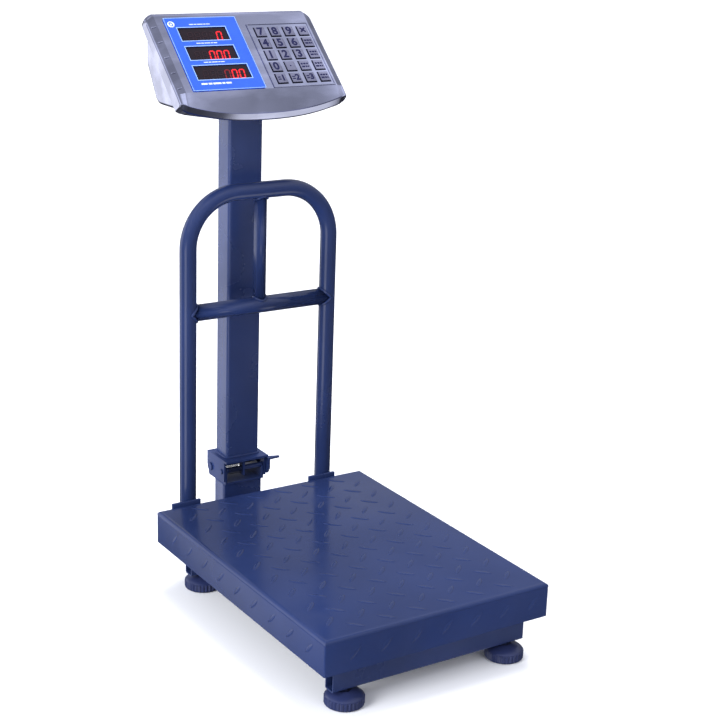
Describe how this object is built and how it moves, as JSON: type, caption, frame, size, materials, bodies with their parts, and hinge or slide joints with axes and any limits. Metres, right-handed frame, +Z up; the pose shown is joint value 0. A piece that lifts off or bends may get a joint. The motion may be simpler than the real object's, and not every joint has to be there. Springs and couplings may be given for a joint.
{
  "type": "platform shipping scale",
  "caption": "Bench platform scale: tread-plate tray on a base with levelling feet, guard rail, folding column with sprung latch, tilted steel head with display windows and keypad.",
  "frame": {"origin": "on the floor, at the centre of the bounding box's base", "axes": "+Z up, the operator stands on the -Y side, +X to the operator's right"},
  "size_m": [0.3, 0.5156, 0.688],
  "materials": {
    "navy_paint": "semi-gloss baked enamel",
    "black_plastic": "satin",
    "zinc": "bright zinc plate",
    "aluminium": "milled",
    "rubber": "matt",
    "polished_steel": "polished sheet, slightly satin",
    "key_metal": "plated, satin",
    "blue_label": "printed film, gloss",
    "smoked_window": "smoked acrylic, gloss",
    "circuit_green": "solder mask",
    "battery_grey": "matt"
  },
  "bodies": {
    "base": {"front_crossbeam": "navy_paint", "rear_crossbeam": "navy_paint", "centre_beam": "navy_paint", "lower_post": "navy_paint", "fixed_bracket": "navy_paint", "hinge_pin": "zinc", "load_cell": "aluminium", "weigh_frame": "navy_paint", "bumper_front_left": "rubber", "bumper_front_right": "rubber", "bumper_rear_left": "rubber", "bumper_rear_right": "rubber", "lock_nut_front_left": "zinc", "lock_nut_front_right": "zinc", "lock_nut_rear_left": "zinc", "lock_nut_rear_right": "zinc"},
    "levelling_foot_front_left": {"foot_front_left": "black_plastic"},
    "levelling_foot_front_right": {"foot_front_right": "black_plastic"},
    "levelling_foot_rear_left": {"foot_rear_left": "black_plastic"},
    "levelling_foot_rear_right": {"foot_rear_right": "black_plastic"},
    "platform": {"platform_pan": "navy_paint", "rail_hoop": "navy_paint", "rail_crossbar": "navy_paint", "rail_centre_bar": "navy_paint", "rail_lug_left": "navy_paint", "rail_lug_right": "navy_paint"},
    "column_assembly": {"folding_bracket": "navy_paint", "column": "navy_paint", "head_bracket": "navy_paint", "latch_spring": "zinc", "front_shell": "polished_steel", "rear_shell": "polished_steel", "display_panel": "blue_label", "display_window": "smoked_window", "circuit_board": "circuit_green", "keypad_bezel": "polished_steel", "battery": "battery_grey", "switch_body": "black_plastic"},
    "latch": {"latch_bolt": "zinc"},
    "rocker": {"power_rocker": "black_plastic"},
    "button_r1_c1": {"key_r1_c1": "key_metal"},
    "button_r1_c2": {"key_r1_c2": "key_metal"},
    "button_r1_c3": {"key_r1_c3": "key_metal"},
    "button_r1_c4": {"key_r1_c4": "key_metal"},
    "button_r2_c1": {"key_r2_c1": "key_metal"},
    "button_r2_c2": {"key_r2_c2": "key_metal"},
    "button_r2_c3": {"key_r2_c3": "key_metal"},
    "button_r2_c4": {"key_r2_c4": "key_metal"},
    "button_r3_c1": {"key_r3_c1": "key_metal"},
    "button_r3_c2": {"key_r3_c2": "key_metal"},
    "button_r3_c3": {"key_r3_c3": "key_metal"},
    "button_r3_c4": {"key_r3_c4": "key_metal"},
    "button_r4_c1": {"key_r4_c1": "key_metal"},
    "button_r4_c2": {"key_r4_c2": "key_metal"},
    "button_r4_c3": {"key_r4_c3": "key_metal"},
    "button_r4_c4": {"key_r4_c4": "key_metal"},
    "button_r5_c1": {"key_r5_c1": "key_metal"},
    "button_r5_c2": {"key_r5_c2": "key_metal"},
    "button_r5_c3": {"key_r5_c3": "key_metal"},
    "button_r5_c4": {"key_r5_c4": "key_metal"}
  },
  "joints": [
    {"name": "column_fold", "type": "hinge", "parent": "base", "child": "column_assembly", "pos_m": [0, 0.22525, 0.102], "axis": [-1, 0, 0], "range_deg": [0, 90]},
    {"name": "platform_lift", "type": "slide", "parent": "base", "child": "platform", "axis": [0, 0, 1], "range_m": [0, 0.06]},
    {"name": "latch_pull", "type": "slide", "parent": "column_assembly", "child": "latch", "axis": [1, 0, 0], "range_m": [0, 0.009], "stiffness_N_per_m": 400, "springref_m": -0.006, "deforming": ["latch_spring"]},
    {"name": "power_switch", "type": "hinge", "parent": "column_assembly", "child": "rocker", "pos_m": [0.104, 0.22825, 0.626], "axis": [0, -1, 0], "range_deg": [0, 16]},
    {"name": "foot_height_front_left", "type": "slide", "parent": "base", "child": "levelling_foot_front_left", "axis": [0, 0, -1], "range_m": [0, 0.01]},
    {"name": "foot_height_front_right", "type": "slide", "parent": "base", "child": "levelling_foot_front_right", "axis": [0, 0, -1], "range_m": [0, 0.01]},
    {"name": "foot_height_rear_left", "type": "slide", "parent": "base", "child": "levelling_foot_rear_left", "axis": [0, 0, -1], "range_m": [0, 0.01]},
    {"name": "foot_height_rear_right", "type": "slide", "parent": "base", "child": "levelling_foot_rear_right", "axis": [0, 0, -1], "range_m": [0, 0.01]},
    {"name": "press_r1_c1", "type": "slide", "parent": "column_assembly", "child": "button_r1_c1", "axis": [0, 0.6756, -0.7373], "range_m": [0, 0.0015], "stiffness_N_per_m": 250, "springref_m": -0.0015},
    {"name": "press_r1_c2", "type": "slide", "parent": "column_assembly", "child": "button_r1_c2", "axis": [0, 0.6756, -0.7373], "range_m": [0, 0.0015], "stiffness_N_per_m": 250, "springref_m": -0.0015},
    {"name": "press_r1_c3", "type": "slide", "parent": "column_assembly", "child": "button_r1_c3", "axis": [0, 0.6756, -0.7373], "range_m": [0, 0.0015], "stiffness_N_per_m": 250, "springref_m": -0.0015},
    {"name": "press_r1_c4", "type": "slide", "parent": "column_assembly", "child": "button_r1_c4", "axis": [0, 0.6756, -0.7373], "range_m": [0, 0.0015], "stiffness_N_per_m": 250, "springref_m": -0.0015},
    {"name": "press_r2_c1", "type": "slide", "parent": "column_assembly", "child": "button_r2_c1", "axis": [0, 0.6756, -0.7373], "range_m": [0, 0.0015], "stiffness_N_per_m": 250, "springref_m": -0.0015},
    {"name": "press_r2_c2", "type": "slide", "parent": "column_assembly", "child": "button_r2_c2", "axis": [0, 0.6756, -0.7373], "range_m": [0, 0.0015], "stiffness_N_per_m": 250, "springref_m": -0.0015},
    {"name": "press_r2_c3", "type": "slide", "parent": "column_assembly", "child": "button_r2_c3", "axis": [0, 0.6756, -0.7373], "range_m": [0, 0.0015], "stiffness_N_per_m": 250, "springref_m": -0.0015},
    {"name": "press_r2_c4", "type": "slide", "parent": "column_assembly", "child": "button_r2_c4", "axis": [0, 0.6756, -0.7373], "range_m": [0, 0.0015], "stiffness_N_per_m": 250, "springref_m": -0.0015},
    {"name": "press_r3_c1", "type": "slide", "parent": "column_assembly", "child": "button_r3_c1", "axis": [0, 0.6756, -0.7373], "range_m": [0, 0.0015], "stiffness_N_per_m": 250, "springref_m": -0.0015},
    {"name": "press_r3_c2", "type": "slide", "parent": "column_assembly", "child": "button_r3_c2", "axis": [0, 0.6756, -0.7373], "range_m": [0, 0.0015], "stiffness_N_per_m": 250, "springref_m": -0.0015},
    {"name": "press_r3_c3", "type": "slide", "parent": "column_assembly", "child": "button_r3_c3", "axis": [0, 0.6756, -0.7373], "range_m": [0, 0.0015], "stiffness_N_per_m": 250, "springref_m": -0.0015},
    {"name": "press_r3_c4", "type": "slide", "parent": "column_assembly", "child": "button_r3_c4", "axis": [0, 0.6756, -0.7373], "range_m": [0, 0.0015], "stiffness_N_per_m": 250, "springref_m": -0.0015},
    {"name": "press_r4_c1", "type": "slide", "parent": "column_assembly", "child": "button_r4_c1", "axis": [0, 0.6756, -0.7373], "range_m": [0, 0.0015], "stiffness_N_per_m": 250, "springref_m": -0.0015},
    {"name": "press_r4_c2", "type": "slide", "parent": "column_assembly", "child": "button_r4_c2", "axis": [0, 0.6756, -0.7373], "range_m": [0, 0.0015], "stiffness_N_per_m": 250, "springref_m": -0.0015},
    {"name": "press_r4_c3", "type": "slide", "parent": "column_assembly", "child": "button_r4_c3", "axis": [0, 0.6756, -0.7373], "range_m": [0, 0.0015], "stiffness_N_per_m": 250, "springref_m": -0.0015},
    {"name": "press_r4_c4", "type": "slide", "parent": "column_assembly", "child": "button_r4_c4", "axis": [0, 0.6756, -0.7373], "range_m": [0, 0.0015], "stiffness_N_per_m": 250, "springref_m": -0.0015},
    {"name": "press_r5_c1", "type": "slide", "parent": "column_assembly", "child": "button_r5_c1", "axis": [0, 0.6756, -0.7373], "range_m": [0, 0.0015], "stiffness_N_per_m": 250, "springref_m": -0.0015},
    {"name": "press_r5_c2", "type": "slide", "parent": "column_assembly", "child": "button_r5_c2", "axis": [0, 0.6756, -0.7373], "range_m": [0, 0.0015], "stiffness_N_per_m": 250, "springref_m": -0.0015},
    {"name": "press_r5_c3", "type": "slide", "parent": "column_assembly", "child": "button_r5_c3", "axis": [0, 0.6756, -0.7373], "range_m": [0, 0.0015], "stiffness_N_per_m": 250, "springref_m": -0.0015},
    {"name": "press_r5_c4", "type": "slide", "parent": "column_assembly", "child": "button_r5_c4", "axis": [0, 0.6756, -0.7373], "range_m": [0, 0.0015], "stiffness_N_per_m": 250, "springref_m": -0.0015}
  ]
}
